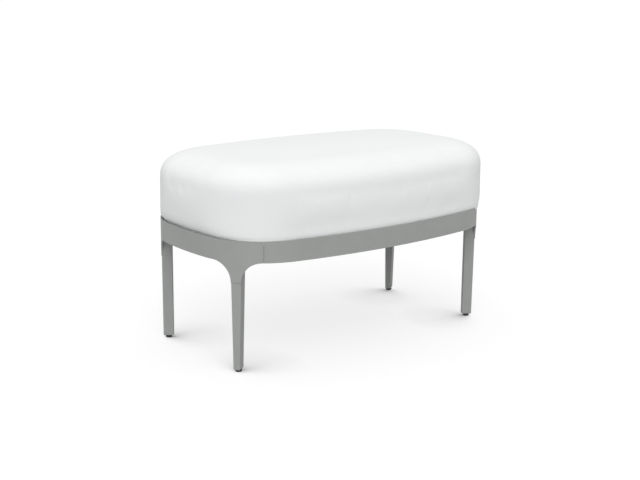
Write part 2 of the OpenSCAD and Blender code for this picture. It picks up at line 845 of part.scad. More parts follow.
// Shell of a form, open at the base
module shell_form(inset, wall, lift) {
    outer = form_points(inset, lift);
    start = len(outer);
    base = [for (i = [0:ring_points - 1])
        let (j = (i + 1) % ring_points)
        each [[i, j, start + i], [j, start + j, start + i]]];
    polyhedron(
        concat(outer, form_points(inset + wall, lift)),
        concat(skin_faces(0, false), skin_faces(start, true), base)
    );
}

// Cover: crowned top and drawn-in sides in one skin, open where the base panel is sewn in
module cushion_cover()
    color(cloth)
        shell_form(0, cover_t, 0);

// Base panel, with the zip's slit
module base_panel()
    color(cloth)
        translate([0, 0, cushion_z])
            linear_extrude(base_t)
                difference() {
                    polygon(outline(tuck + cover_t + layer_gap));
                    translate([-zip_len / 2, zip_y - slit_w / 2])
                        square([zip_len, slit_w]);
                }

// Fibre wrap around the foam
module fibre_wrap()
    color("white")
        shell_form(cover_t + layer_gap, wrap_t, foam_lift);

// Foam core
module foam_core()
    color(foam_grey)
        solid_form(cover_t + 2 * layer_gap + wrap_t, foam_lift);

// Zip tape above the base panel, with its chain in the slit
module zip_tape()
    color(cloth)
        translate([0, zip_y, zip_level]) {
            translate([-zip_len / 2 - tape_w / 2, -tape_w / 2, 0])
                cube([zip_len + tape_w, tape_w, tape_t]);
            translate([-zip_len / 2 + face_gap, -chain_w / 2, -chain_drop])
                cube([zip_len - 2 * face_gap, chain_w, chain_drop + tape_t]);
        }

// Slider under the chain at the zip's left end, with its pull laid back along the zip
module zip_slider()
    color(zinc)
        translate([-zip_travel / 2, zip_y, zip_level - chain_drop - layer_gap]) {
            translate([-slider_len / 2, -slider_w / 2, -slider_h])
                cube([slider_len, slider_w, slider_h]);
            translate([0, -chain_w / 2, -slider_h - pull_t])
                cube([pull_len, chain_w, pull_t + tiny]);
        }

color(metal) mirror([0, 1, 0]) rear_rail_shape();  // front_rail
color(metal) rear_rail_shape();  // rear_rail
color(metal) mirror([1, 0, 0]) right_rail_shape();  // left_rail
color(metal) right_rail_shape();  // right_rail
corner_plate(-1, -1);  // front_left_plate
corner_plate(1, -1);  // front_right_plate
corner_plate(-1, 1);  // rear_left_plate
corner_plate(1, 1);  // rear_right_plate
leg(-1, -1);  // front_left_leg
leg(1, -1);  // front_right_leg
leg(-1, 1);  // rear_left_leg
leg(1, 1);  // rear_right_leg
leg_block(-1, -1);  // front_left_leg_block
leg_block(1, -1);  // front_right_leg_block
leg_block(-1, 1);  // rear_left_leg_block
leg_block(1, 1);  // rear_right_leg_block
leg_plug(-1, -1);  // front_left_leg_plug
leg_plug(1, -1);  // front_right_leg_plug
leg_plug(-1, 1);  // rear_left_leg_plug
leg_plug(1, 1);  // rear_right_leg_plug
glide_pad(-1, -1);  // front_left_pad
glide_pad(1, -1);  // front_right_pad
glide_pad(-1, 1);  // rear_left_pad
glide_pad(1, 1);  // rear_right_pad
glide_stem(-1, -1);  // front_left_stem
glide_stem(1, -1);  // front_right_stem
glide_stem(-1, 1);  // rear_left_stem
glide_stem(1, 1);  // rear_right_stem
brace(-1, -1);  // front_left_brace
brace(1, -1);  // front_right_brace
brace(-1, 1);  // rear_left_brace
brace(1, 1);  // rear_right_brace
color(metal) mirror([0, 1, 0]) rear_ledge_shape();  // front_ledge
color(metal) rear_ledge_shape();  // rear_ledge
color(metal) mirror([1, 0, 0]) right_ledge_shape();  // left_ledge
color(metal) right_ledge_shape();  // right_ledge
cross_rail(-1);  // left_cross_rail
cross_rail(1);  // right_cross_rail
for (i = [0:len(slat_rows) - 1])
    slat(slat_rows[i]);
frame_nuts();
slat_screws();
cross_rail_screws();
brace_screws();
cushion_cover();
base_panel();
fibre_wrap();
foam_core();
zip_tape();
zip_slider();
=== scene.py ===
import math

import bmesh
import bpy
from mathutils import Matrix, Vector


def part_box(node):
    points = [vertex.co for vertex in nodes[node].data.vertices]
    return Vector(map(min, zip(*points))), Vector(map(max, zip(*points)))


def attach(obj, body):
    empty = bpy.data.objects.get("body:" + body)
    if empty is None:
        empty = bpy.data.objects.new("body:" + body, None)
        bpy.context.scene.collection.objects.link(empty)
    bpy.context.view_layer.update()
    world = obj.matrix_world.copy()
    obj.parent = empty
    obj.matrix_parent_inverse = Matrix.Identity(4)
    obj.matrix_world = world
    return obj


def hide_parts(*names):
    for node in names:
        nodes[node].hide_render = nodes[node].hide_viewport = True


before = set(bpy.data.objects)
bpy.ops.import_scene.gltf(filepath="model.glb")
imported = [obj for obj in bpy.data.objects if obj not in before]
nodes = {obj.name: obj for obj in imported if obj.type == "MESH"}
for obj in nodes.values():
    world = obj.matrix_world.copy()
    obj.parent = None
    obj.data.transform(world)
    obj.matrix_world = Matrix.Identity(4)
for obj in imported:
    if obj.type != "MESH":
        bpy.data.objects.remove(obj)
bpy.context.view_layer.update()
scene = bpy.context.scene

# Camera: a long lens from the front left, a little above the seat.
camera_data = bpy.data.cameras.new("camera")
camera_data.lens = 63.479
camera_data.sensor_width = 36
camera_data.shift_x = 0.03367
camera_data.shift_y = -0.0175
camera = bpy.data.objects.new("camera", camera_data)
scene.collection.objects.link(camera)
camera.location = (-1.68502, -2.11364, 0.86445)
camera.rotation_euler = (math.radians(77.14833), math.radians(-0.34075), math.radians(-37.18744))
scene.camera = camera

# Floor: a wide white studio floor. Seen directly it glows up to white, so that only the shade under
# the seat and at the feet shows on it, and the light that it throws back is a plain pale floor's.
# The glow fades where a foot stands outward of it: a painted shadow, a soft streak inward of each foot.
bpy.ops.object.select_all(action="DESELECT")
floor_size = 60
bpy.ops.mesh.primitive_plane_add(size=floor_size)
floor = bpy.context.object
floor.name = "studio_floor"
floor_white = bpy.data.materials.new("floor_white")
floor_white.use_nodes = True
tree = floor_white.node_tree
bounce = tree.nodes["Principled BSDF"]
bounce.inputs["Base Color"].default_value = (0.54, 0.54, 0.54, 1)
bounce.inputs["Roughness"].default_value = 0.9
bounce.inputs["Specular IOR Level"].default_value = 0.0
seen = tree.nodes.new("ShaderNodeBsdfPrincipled")
seen.inputs["Base Color"].default_value = (0.3, 0.3, 0.3, 1)
seen.inputs["Roughness"].default_value = 0.9
seen.inputs["Specular IOR Level"].default_value = 0.0
seen.inputs["Emission Strength"].default_value = 0.73
coord = tree.nodes.new("ShaderNodeTexCoord")
outward = tree.nodes.new("ShaderNodeVectorMath")
outward.operation = "NORMALIZE"
tree.links.new(coord.outputs["Object"], outward.inputs[0])
low_light = tree.nodes.new("ShaderNodeVectorMath")
low_light.operation = "ADD"
low_light.inputs[1].default_value = (0, 0, 0.3)
tree.links.new(outward.outputs["Vector"], low_light.inputs[0])
# Painted shadow: occlusion toward each point's outward side dims the floor's glow just inward of each foot.
near = tree.nodes.new("ShaderNodeAmbientOcclusion")
near.samples = 16
near.inputs["Distance"].default_value = 0.16
tree.links.new(low_light.outputs["Vector"], near.inputs["Normal"])
painted_foot_shadow = tree.nodes.new("ShaderNodeMath")
painted_foot_shadow.operation = "POWER"
painted_foot_shadow.inputs[1].default_value = 2.0
tree.links.new(near.outputs["AO"], painted_foot_shadow.inputs[0])
tree.links.new(painted_foot_shadow.outputs["Value"], seen.inputs["Emission Color"])
path = tree.nodes.new("ShaderNodeLightPath")
shows = tree.nodes.new("ShaderNodeMath")
shows.operation = "MAXIMUM"
tree.links.new(path.outputs["Is Camera Ray"], shows.inputs[0])
tree.links.new(path.outputs["Is Glossy Ray"], shows.inputs[1])
through = tree.nodes.new("ShaderNodeMath")
through.operation = "MAXIMUM"
tree.links.new(shows.outputs["Value"], through.inputs[0])
tree.links.new(path.outputs["Is Transmission Ray"], through.inputs[1])
mix = tree.nodes.new("ShaderNodeMixShader")
tree.links.new(through.outputs["Value"], mix.inputs["Fac"])
tree.links.new(bounce.outputs["BSDF"], mix.inputs[1])
tree.links.new(seen.outputs["BSDF"], mix.inputs[2])
tree.links.new(mix.outputs["Shader"], tree.nodes["Material Output"].inputs["Surface"])
floor.data.materials.append(floor_white)

# Light: a white tent, brightest overhead and a little brighter on the left, and one broad soft lamp
# from the front left. The camera sees the tent as plain white.
tent = bpy.data.worlds.new("light_tent")
scene.world = tent
tent.use_nodes = True
tree = tent.node_tree
sky = tree.nodes["Background"]
sky.inputs["Strength"].default_value = 1.13
way = tree.nodes.new("ShaderNodeTexCoord")
parts = tree.nodes.new("ShaderNodeSeparateXYZ")
tree.links.new(way.outputs["Generated"], parts.inputs["Vector"])
climb = tree.nodes.new("ShaderNodeValToRGB")
climb.color_ramp.elements[0].position = 0.0
climb.color_ramp.elements[0].color = (0.27, 0.27, 0.27, 1)
climb.color_ramp.elements[1].position = 1.0
climb.color_ramp.elements[1].color = (1, 1, 1, 1)
for place, level in ((0.3, 0.43), (0.55, 0.6), (0.8, 0.8)):
    stop = climb.color_ramp.elements.new(place)
    stop.color = (level, level, level, 1)
tree.links.new(parts.outputs["Z"], climb.inputs["Fac"])
side_on = tree.nodes.new("ShaderNodeVectorMath")
side_on.operation = "DOT_PRODUCT"
side_on.inputs[1].default_value = (-0.16, 0, 0)
tree.links.new(way.outputs["Generated"], side_on.inputs[0])
lean = tree.nodes.new("ShaderNodeMath")
lean.operation = "ADD"
lean.inputs[1].default_value = 1.0
tree.links.new(side_on.outputs["Value"], lean.inputs[0])
tinted = tree.nodes.new("ShaderNodeVectorMath")
tinted.operation = "SCALE"
tree.links.new(climb.outputs["Color"], tinted.inputs[0])
tree.links.new(lean.outputs["Value"], tinted.inputs["Scale"])
tree.links.new(tinted.outputs["Vector"], sky.inputs["Color"])
path = tree.nodes.new("ShaderNodeLightPath")
white = tree.nodes.new("ShaderNodeBackground")
white.inputs["Color"].default_value = (1, 1, 1, 1)
mix = tree.nodes.new("ShaderNodeMixShader")
tree.links.new(path.outputs["Is Camera Ray"], mix.inputs["Fac"])
tree.links.new(sky.outputs["Background"], mix.inputs[1])
tree.links.new(white.outputs["Background"], mix.inputs[2])
tree.links.new(mix.outputs["Shader"], tree.nodes["World Output"].inputs["Surface"])
lamp_data = bpy.data.lights.new("soft_lamp", "SUN")
lamp_data.energy = 1.08
lamp_data.angle = math.radians(50)
lamp = bpy.data.objects.new("soft_lamp", lamp_data)
scene.collection.objects.link(lamp)
lamp_way = Vector((0.45, 0.68, -0.6))
lamp.rotation_euler = lamp_way.to_track_quat("-Z", "Y").to_euler()
scene.view_settings.view_transform = "Standard"

# Band, corner plates and legs: steel, bent, welded and powder coated, with painted shade in the seams and
# crevices. Each is the CAD part with the fine round that the coat leaves on its edges, and a fuller one on
# the rim.
coat = bpy.data.materials.new("powder_coat")
coat.use_nodes = True
tree = coat.node_tree
shader = tree.nodes["Principled BSDF"]
coord = tree.nodes.new("ShaderNodeTexCoord")
tone = tree.nodes.new("ShaderNodeTexNoise")
tone.inputs["Scale"].default_value = 22
tone.inputs["Detail"].default_value = 3
tree.links.new(coord.outputs["Object"], tone.inputs["Vector"])
shade = tree.nodes.new("ShaderNodeValToRGB")
shade.color_ramp.elements[0].position = 0.3
shade.color_ramp.elements[0].color = (0.345, 0.357, 0.346, 1)
shade.color_ramp.elements[1].position = 0.7
shade.color_ramp.elements[1].color = (0.365, 0.377, 0.366, 1)
tree.links.new(tone.outputs["Fac"], shade.inputs["Fac"])
# Painted shade: occlusion within 8 mm darkens the coat's colour in seams, crevices and beside the cushion.
crevice = tree.nodes.new("ShaderNodeAmbientOcclusion")
crevice.samples = 8
crevice.inputs["Distance"].default_value = 0.008
open_part = tree.nodes.new("ShaderNodeMapRange")
open_part.inputs["From Max"].default_value = 0.55
open_part.inputs["To Min"].default_value = 0.1
tree.links.new(crevice.outputs["AO"], open_part.inputs["Value"])
painted_crevice_shade = tree.nodes.new("ShaderNodeVectorMath")
painted_crevice_shade.operation = "SCALE"
tree.links.new(shade.outputs["Color"], painted_crevice_shade.inputs[0])
tree.links.new(open_part.outputs["Result"], painted_crevice_shade.inputs["Scale"])
tree.links.new(painted_crevice_shade.outputs["Vector"], shader.inputs["Base Color"])
peel = tree.nodes.new("ShaderNodeTexNoise")
peel.inputs["Scale"].default_value = 900
peel.inputs["Detail"].default_value = 3
tree.links.new(coord.outputs["Object"], peel.inputs["Vector"])
grain = tree.nodes.new("ShaderNodeTexVoronoi")
grain.inputs["Scale"].default_value = 1600
tree.links.new(coord.outputs["Object"], grain.inputs["Vector"])
relief = tree.nodes.new("ShaderNodeMath")
relief.operation = "MULTIPLY_ADD"
relief.inputs[1].default_value = 0.5
tree.links.new(grain.outputs["Distance"], relief.inputs[0])
tree.links.new(peel.outputs["Fac"], relief.inputs[2])
bump = tree.nodes.new("ShaderNodeBump")
bump.inputs["Strength"].default_value = 0.25
bump.inputs["Distance"].default_value = 0.0002
tree.links.new(relief.outputs["Value"], bump.inputs["Height"])
tree.links.new(bump.outputs["Normal"], shader.inputs["Normal"])
gloss = tree.nodes.new("ShaderNodeMapRange")
gloss.inputs["To Min"].default_value = 0.5
gloss.inputs["To Max"].default_value = 0.64
tree.links.new(peel.outputs["Fac"], gloss.inputs["Value"])
tree.links.new(gloss.outputs["Result"], shader.inputs["Roughness"])


def round_edges(node, name, body, edge, finish, rim=0.0):
    """The CAD part, triangles merged, its top edges rounded by rim and its other sharp edges by edge."""
    bpy.ops.object.select_all(action="DESELECT")
    part = bpy.data.objects.new(name, nodes[node].data.copy())
    scene.collection.objects.link(part)
    part.select_set(True)
    bpy.context.view_layer.objects.active = part
    bpy.ops.object.mode_set(mode="EDIT")
    bpy.ops.mesh.select_all(action="SELECT")
    bpy.ops.mesh.remove_doubles(threshold=0.000005)
    bpy.ops.mesh.dissolve_limited(angle_limit=math.radians(0.1))
    bpy.ops.mesh.select_all(action="DESELECT")
    bpy.ops.mesh.edges_select_sharp(sharpness=math.radians(35))
    if rim:
        bpy.ops.object.mode_set(mode="OBJECT")
        points = part.data.vertices
        rim_z = max(v.co.z for v in points) - 0.00001
        for line in part.data.edges:
            line.select = line.select and min(points[i].co.z for i in line.vertices) > rim_z
        bpy.ops.object.mode_set(mode="EDIT")
        bpy.ops.mesh.bevel(offset=rim, segments=3, profile=0.5, affect="EDGES", clamp_overlap=True)
        bpy.ops.mesh.select_all(action="DESELECT")
        bpy.ops.mesh.edges_select_sharp(sharpness=math.radians(35))
    bpy.ops.mesh.bevel(offset=edge, segments=3, profile=0.5, affect="EDGES", clamp_overlap=True)
    bpy.ops.object.mode_set(mode="OBJECT")
    bpy.ops.object.shade_smooth_by_angle(angle=math.radians(40))
    even = part.modifiers.new("even_normals", "WEIGHTED_NORMAL")
    even.keep_sharp = True
    bpy.ops.object.modifier_apply(modifier=even.name)
    part.data.materials.clear()
    part.data.materials.append(finish)
    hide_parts(node)
    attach(part, body)


sides = ("front", "rear", "left", "right")
corners = ("front_left", "front_right", "rear_left", "rear_right")
band_edge, rim_edge, leg_edge = 0.0003, 0.0006, 0.0004
for side in sides:
    round_edges(side + "_rail", side + "_bar", "frame", band_edge, coat, rim_edge)
for corner in corners:
    round_edges(corner + "_plate", corner + "_corner", "frame", band_edge, coat, rim_edge)
    round_edges(corner + "_leg", corner + "_tube", "frame", leg_edge, coat)

# Deck: slats screwed on two square tubes, on ledges along the band and on a brace in each corner,
# all in the same coat.
slat_rows = range(1, 8)
slat_edge, tube_edge, sheet_edge = 0.0007, 0.0008, 0.0005
for row in slat_rows:
    round_edges("seat_slat_%d" % row, "slat_%d" % row, "frame", slat_edge, coat)
for side in ("left", "right"):
    round_edges(side + "_cross_rail", side + "_tube_rail", "frame", tube_edge, coat)
for side in sides:
    round_edges(side + "_ledge", side + "_angle", "frame", sheet_edge, coat)
for corner in corners:
    round_edges(corner + "_brace", corner + "_strap", "frame", sheet_edge, coat)

# Fasteners and leg blocks: zinc plated steel. Nuts, pan heads, blocks and the glides' stems are the
# CAD parts with softened edges; the countersunk slat screws have a hexagon socket, one made and the
# rest copied.
zinc = bpy.data.materials.new("zinc_plate")
zinc.use_nodes = True
tree = zinc.node_tree
shader = tree.nodes["Principled BSDF"]
shader.inputs["Metallic"].default_value = 1.0
coord = tree.nodes.new("ShaderNodeTexCoord")
spangle = tree.nodes.new("ShaderNodeTexNoise")
spangle.inputs["Scale"].default_value = 400
spangle.inputs["Detail"].default_value = 6
tree.links.new(coord.outputs["Object"], spangle.inputs["Vector"])
shade = tree.nodes.new("ShaderNodeValToRGB")
shade.color_ramp.elements[0].color = (0.45, 0.46, 0.47, 1)
shade.color_ramp.elements[1].color = (0.66, 0.67, 0.66, 1)
tree.links.new(spangle.outputs["Fac"], shade.inputs["Fac"])
tree.links.new(shade.outputs["Color"], shader.inputs["Base Color"])
gloss = tree.nodes.new("ShaderNodeMapRange")
gloss.inputs["To Min"].default_value = 0.28
gloss.inputs["To Max"].default_value = 0.5
tree.links.new(spangle.outputs["Fac"], gloss.inputs["Value"])
tree.links.new(gloss.outputs["Result"], shader.inputs["Roughness"])
nut_edge, block_edge, stem_edge = 0.0003, 0.0005, 0.0004
round_edges("frame_nuts", "hexagon_nuts", "frame", nut_edge, zinc)
round_edges("cross_rail_screws", "rail_screws", "frame", nut_edge, zinc)
round_edges("brace_screws", "strap_screws", "frame", nut_edge, zinc)
for corner in corners:
    round_edges(corner + "_leg_block", corner + "_block", "frame", block_edge, zinc)
    round_edges(corner + "_stem", corner + "_thread_stem", corner + "_screw", stem_edge, zinc)

shank_r, shank_len = 0.0025, 0.012
head_deep, head_flare, lip, lip_in = 0.0025, 1.98, 0.0002, 0.0003
key_r, key_len, key_z = 0.0018, 0.004, 0.0002
bpy.ops.object.select_all(action="DESELECT")
bpy.ops.mesh.primitive_cylinder_add(
    vertices=48, radius=shank_r, depth=shank_len, location=(0, 0, -shank_len / 2))
screw = bpy.context.object
screw.name = "screw"
bpy.ops.object.transform_apply(location=True, rotation=True, scale=True)
bpy.ops.object.mode_set(mode="EDIT")
bpy.ops.mesh.select_mode(type="FACE")
bpy.ops.mesh.select_all(action="DESELECT")
bpy.ops.object.mode_set(mode="OBJECT")
for face in screw.data.polygons:
    face.select = face.normal.z > 0.9
bpy.ops.object.mode_set(mode="EDIT")
bpy.ops.transform.translate(value=(0, 0, -head_deep))
bpy.ops.mesh.extrude_region_move(TRANSFORM_OT_translate={"value": (0, 0, head_deep - lip)})
bpy.ops.transform.resize(value=(head_flare, head_flare, 1))
bpy.ops.mesh.extrude_region_move(TRANSFORM_OT_translate={"value": (0, 0, lip)})
bpy.ops.mesh.inset(thickness=lip_in)
bpy.ops.object.mode_set(mode="OBJECT")
bpy.ops.object.select_all(action="DESELECT")
bpy.ops.mesh.primitive_cylinder_add(vertices=6, radius=key_r, depth=key_len, location=(0, 0, key_z))
key_hole = bpy.context.object
socket = screw.modifiers.new("socket", "BOOLEAN")
socket.operation = "DIFFERENCE"
socket.solver = "EXACT"
socket.object = key_hole
bpy.context.view_layer.objects.active = screw
bpy.ops.object.modifier_apply(modifier=socket.name)
bpy.data.objects.remove(key_hole)


def lay_out(one, places, name):
    """Copies of one small piece, each with its own mesh, at these places, joined under this name."""
    bpy.ops.object.select_all(action="DESELECT")
    for i, place in enumerate(places):
        copy = bpy.data.objects.new("%s_%d" % (one.name, i), one.data.copy())
        scene.collection.objects.link(copy)
        copy.data.transform(place)
        copy.select_set(True)
        bpy.context.view_layer.objects.active = copy
    bpy.ops.object.join()
    many = bpy.context.object
    many.name = name
    bpy.data.objects.remove(one)
    return many


low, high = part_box("right_cross_rail")
cross_x = (low.x + high.x) / 2
end_gap = 0.012
spots = []
for row in slat_rows:
    low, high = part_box("seat_slat_%d" % row)
    reach = [cross_x] if row in (slat_rows[0], slat_rows[-1]) else [cross_x, high.x - end_gap]
    spots += [(s * x, (low.y + high.y) / 2, high.z) for s in (-1, 1) for x in reach]
hand_turn = 0.7
places = [Matrix.Translation(spot) @ Matrix.Rotation(hand_turn * i, 4, "Z") for i, spot in enumerate(spots)]
screws = lay_out(screw, places, "socket_screws")
bpy.ops.object.shade_smooth_by_angle(angle=math.radians(35))
screws.data.materials.clear()
screws.data.materials.append(zinc)
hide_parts("slat_screws")
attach(screws, "frame")

# Glides and foot plugs: black nylon. Each pad is turned from a disc, rounded more below than above,
# with a shallow socket round the stem.
nylon = bpy.data.materials.new("black_nylon")
nylon.use_nodes = True
tree = nylon.node_tree
shader = tree.nodes["Principled BSDF"]
coord = tree.nodes.new("ShaderNodeTexCoord")
speck = tree.nodes.new("ShaderNodeTexNoise")
speck.inputs["Scale"].default_value = 700
speck.inputs["Detail"].default_value = 5
tree.links.new(coord.outputs["Object"], speck.inputs["Vector"])
shade = tree.nodes.new("ShaderNodeValToRGB")
shade.color_ramp.elements[0].color = (0.012, 0.012, 0.012, 1)
shade.color_ramp.elements[1].color = (0.028, 0.028, 0.027, 1)
tree.links.new(speck.outputs["Fac"], shade.inputs["Fac"])
tree.links.new(shade.outputs["Color"], shader.inputs["Base Color"])
gloss = tree.nodes.new("ShaderNodeMapRange")
gloss.inputs["To Min"].default_value = 0.4
gloss.inputs["To Max"].default_value = 0.6
tree.links.new(speck.outputs["Fac"], gloss.inputs["Value"])
tree.links.new(gloss.outputs["Result"], shader.inputs["Roughness"])
bump = tree.nodes.new("ShaderNodeBump")
bump.inputs["Strength"].default_value = 0.2
bump.inputs["Distance"].default_value = 0.0001
tree.links.new(speck.outputs["Fac"], bump.inputs["Height"])
tree.links.new(bump.outputs["Normal"], shader.inputs["Normal"])
plug_edge, pad_r, pad_h, low_edge, top_edge = 0.0004, 0.0075, 0.005, 0.0012, 0.0005
socket_in, socket_deep, socket_flare = 0.0037, 0.0006, 0.0008
for corner in corners:
    round_edges(corner + "_leg_plug", corner + "_plug", "frame", plug_edge, nylon)
    low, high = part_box(corner + "_pad")
    middle = (low + high) / 2
    bpy.ops.object.select_all(action="DESELECT")
    bpy.ops.mesh.primitive_cylinder_add(vertices=64, radius=pad_r, depth=pad_h, location=middle)
    pad = bpy.context.object
    bpy.ops.object.transform_apply(location=True, rotation=True, scale=True)
    for up, edge, steps in ((-1, low_edge, 5), (1, top_edge, 3)):
        for face in pad.data.polygons:
            face.select = face.normal.z * up > 0.9
        bpy.ops.object.mode_set(mode="EDIT")
        bpy.ops.mesh.select_mode(type="FACE")
        bpy.ops.mesh.region_to_loop()
        bpy.ops.mesh.bevel(offset=edge, segments=steps, profile=0.5, affect="EDGES")
        bpy.ops.mesh.select_all(action="DESELECT")
        bpy.ops.object.mode_set(mode="OBJECT")
    for face in pad.data.polygons:
        face.select = face.normal.z > 0.999 and face.area > 0.00001
    bpy.ops.object.mode_set(mode="EDIT")
    bpy.ops.mesh.select_mode(type="FACE")
    bpy.ops.mesh.inset(thickness=socket_in)
    bpy.ops.mesh.extrude_region_move(TRANSFORM_OT_translate={"value": (0, 0, -socket_deep)})
    bpy.ops.mesh.inset(thickness=-socket_flare)
    bpy.ops.object.mode_set(mode="OBJECT")
    pad.name = corner + "_glide_pad"
    bpy.ops.object.shade_smooth_by_angle(angle=math.radians(40))
    pad.data.materials.append(nylon)
    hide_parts(corner + "_pad")
    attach(pad, corner + "_glide")

# Cushion: a loose block of foam and fibre in a taut white cover, crowned on top, with upright sides,
# lying a little off the middle. Its form is lofted in rings, a little too deep, remeshed, puffed by a
# short cloth simulation and cut flat below. A faint crease runs round it in places above the rim.
thread_rate = 1111


def cover_cloth(name, unrolled):
    """Plain weave of white thread 0.9 mm apart, laid by the cover's own map or straight along X and Y."""
    cloth = bpy.data.materials.new(name)
    cloth.use_nodes = True
    tree = cloth.node_tree
    shader = tree.nodes["Principled BSDF"]
    shader.inputs["Roughness"].default_value = 0.85
    shader.inputs["Specular IOR Level"].default_value = 0.25
    shader.inputs["Sheen Weight"].default_value = 0.12
    shader.inputs["Sheen Roughness"].default_value = 0.5
    coord = tree.nodes.new("ShaderNodeTexCoord")
    threads = tree.nodes.new("ShaderNodeVectorMath")
    threads.operation = "MULTIPLY_ADD"
    threads.inputs[1].default_value = (thread_rate, thread_rate, 0)
    threads.inputs[2].default_value = (0, 0, 0.5)
    tree.links.new(coord.outputs["UV" if unrolled else "Object"], threads.inputs[0])
    split = tree.nodes.new("ShaderNodeSeparateXYZ")
    tree.links.new(threads.outputs["Vector"], split.inputs["Vector"])
    ribs = []
    for axis in ("X", "Y"):
        turn = tree.nodes.new("ShaderNodeMath")
        turn.operation = "MULTIPLY"
        turn.inputs[1].default_value = math.pi
        tree.links.new(split.outputs[axis], turn.inputs[0])
        wave = tree.nodes.new("ShaderNodeMath")
        wave.operation = "SINE"
        tree.links.new(turn.outputs["Value"], wave.inputs[0])
        rib = tree.nodes.new("ShaderNodeMath")
        rib.operation = "ABSOLUTE"
        tree.links.new(wave.outputs["Value"], rib.inputs[0])
        ribs.append(rib)
    overs = []
    for across, along in (ribs, ribs[::-1]):
        arch = tree.nodes.new("ShaderNodeMath")
        arch.operation = "MULTIPLY_ADD"
        arch.inputs[1].default_value = 0.35
        arch.inputs[2].default_value = 0.65
        tree.links.new(along.outputs["Value"], arch.inputs[0])
        over = tree.nodes.new("ShaderNodeMath")
        over.operation = "MULTIPLY"
        tree.links.new(across.outputs["Value"], over.inputs[0])
        tree.links.new(arch.outputs["Value"], over.inputs[1])
        overs.append(over)
    check = tree.nodes.new("ShaderNodeTexChecker")
    check.inputs["Scale"].default_value = 1.0
    tree.links.new(threads.outputs["Vector"], check.inputs["Vector"])
    woven = tree.nodes.new("ShaderNodeMix")
    woven.data_type = "FLOAT"
    tree.links.new(check.outputs["Fac"], woven.inputs[0])
    tree.links.new(overs[0].outputs["Value"], woven.inputs[2])
    tree.links.new(overs[1].outputs["Value"], woven.inputs[3])
    slub = tree.nodes.new("ShaderNodeTexNoise")
    slub.inputs["Scale"].default_value = 140
    slub.inputs["Detail"].default_value = 4
    tree.links.new(coord.outputs["Object"], slub.inputs["Vector"])
    height = tree.nodes.new("ShaderNodeMath")
    height.operation = "MULTIPLY_ADD"
    height.inputs[1].default_value = 0.8
    tree.links.new(slub.outputs["Fac"], height.inputs[0])
    tree.links.new(woven.outputs[0], height.inputs[2])
    bump = tree.nodes.new("ShaderNodeBump")
    bump.inputs["Strength"].default_value = 0.3
    bump.inputs["Distance"].default_value = 0.00015
    tree.links.new(height.outputs["Value"], bump.inputs["Height"])
    tree.links.new(bump.outputs["Normal"], shader.inputs["Normal"])
    shade = tree.nodes.new("ShaderNodeValToRGB")
    shade.color_ramp.elements[0].position = 0.2
    shade.color_ramp.elements[0].color = (0.857, 0.866, 0.871, 1)
    shade.color_ramp.elements[1].position = 1.0
    shade.color_ramp.elements[1].color = (0.906, 0.914, 0.917, 1)
    tree.links.new(height.outputs["Value"], shade.inputs["Fac"])
    tree.links.new(shade.outputs["Color"], shader.inputs["Base Color"])
    return cloth


cover_weave = cover_cloth("cover_weave", True)
tree = cover_weave.node_tree
coord = tree.nodes.new("ShaderNodeTexCoord")
level = tree.nodes.new("ShaderNodeSeparateXYZ")
tree.links.new(coord.outputs["Object"], level.inputs["Vector"])
off_line = tree.nodes.new("ShaderNodeMath")
off_line.operation = "SUBTRACT"
crease_z = 0.3095
off_line.inputs[1].default_value = crease_z
tree.links.new(level.outputs["Z"], off_line.inputs[0])
sharp = tree.nodes.new("ShaderNodeMath")
sharp.operation = "MULTIPLY"
sharp.inputs[1].default_value = 450
tree.links.new(off_line.outputs["Value"], sharp.inputs[0])
square = tree.nodes.new("ShaderNodeMath")
square.operation = "MULTIPLY"
tree.links.new(sharp.outputs["Value"], square.inputs[0])
tree.links.new(sharp.outputs["Value"], square.inputs[1])
under = tree.nodes.new("ShaderNodeMath")
under.operation = "MULTIPLY"
under.inputs[1].default_value = -1
tree.links.new(square.outputs["Value"], under.inputs[0])
dip = tree.nodes.new("ShaderNodeMath")
dip.operation = "EXPONENT"
tree.links.new(under.outputs["Value"], dip.inputs[0])
where = tree.nodes.new("ShaderNodeTexNoise")
where.inputs["Scale"].default_value = 4
tree.links.new(coord.outputs["Object"], where.inputs["Vector"])
here = tree.nodes.new("ShaderNodeMapRange")
here.inputs["From Min"].default_value = 0.42
here.inputs["From Max"].default_value = 0.6
tree.links.new(where.outputs["Fac"], here.inputs["Value"])
crease = tree.nodes.new("ShaderNodeMath")
crease.operation = "MULTIPLY"
tree.links.new(dip.outputs["Value"], crease.inputs[0])
tree.links.new(here.outputs["Result"], crease.inputs[1])
fold = tree.nodes.new("ShaderNodeBump")
fold.invert = True
fold.inputs["Strength"].default_value = 0.5
fold.inputs["Distance"].default_value = 0.0008
tree.links.new(crease.outputs["Value"], fold.inputs["Height"])
tree.links.new(fold.outputs["Normal"], tree.nodes["Bump"].inputs["Normal"])

half_l, half_w, side_r, end_r, corner_r = 0.4065, 0.2425, 1.5597, 0.8085, 0.16
off_x, off_y = 0.0022, -0.004
side_c, end_c = Vector((0, half_w - side_r)), Vector((half_l - end_r, 0))
gap = end_c - side_c
along = ((side_r - corner_r) ** 2 - (end_r - corner_r) ** 2 + gap.length ** 2) / (2 * gap.length)
away = math.sqrt((side_r - corner_r) ** 2 - along ** 2)
unit = gap.normalized()
corner_c = side_c + unit * along + Vector((-unit.y, unit.x)) * away
if corner_c.x < 0 or corner_c.y < 0:
    corner_c = side_c + unit * along - Vector((-unit.y, unit.x)) * away
end_ang = math.atan2(corner_c.y, corner_c.x - end_c.x)
side_ang = math.atan2(corner_c.y - side_c.y, corner_c.x)
end_n, corner_n, side_n = 10, 24, 30
quarter = [(end_c, end_r, end_ang * i / end_n) for i in range(end_n)]
quarter += [(corner_c, corner_r, end_ang + (side_ang - end_ang) * i / corner_n) for i in range(corner_n)]
quarter += [(side_c, side_r, side_ang + (math.pi / 2 - side_ang) * i / side_n) for i in range(side_n + 1)]


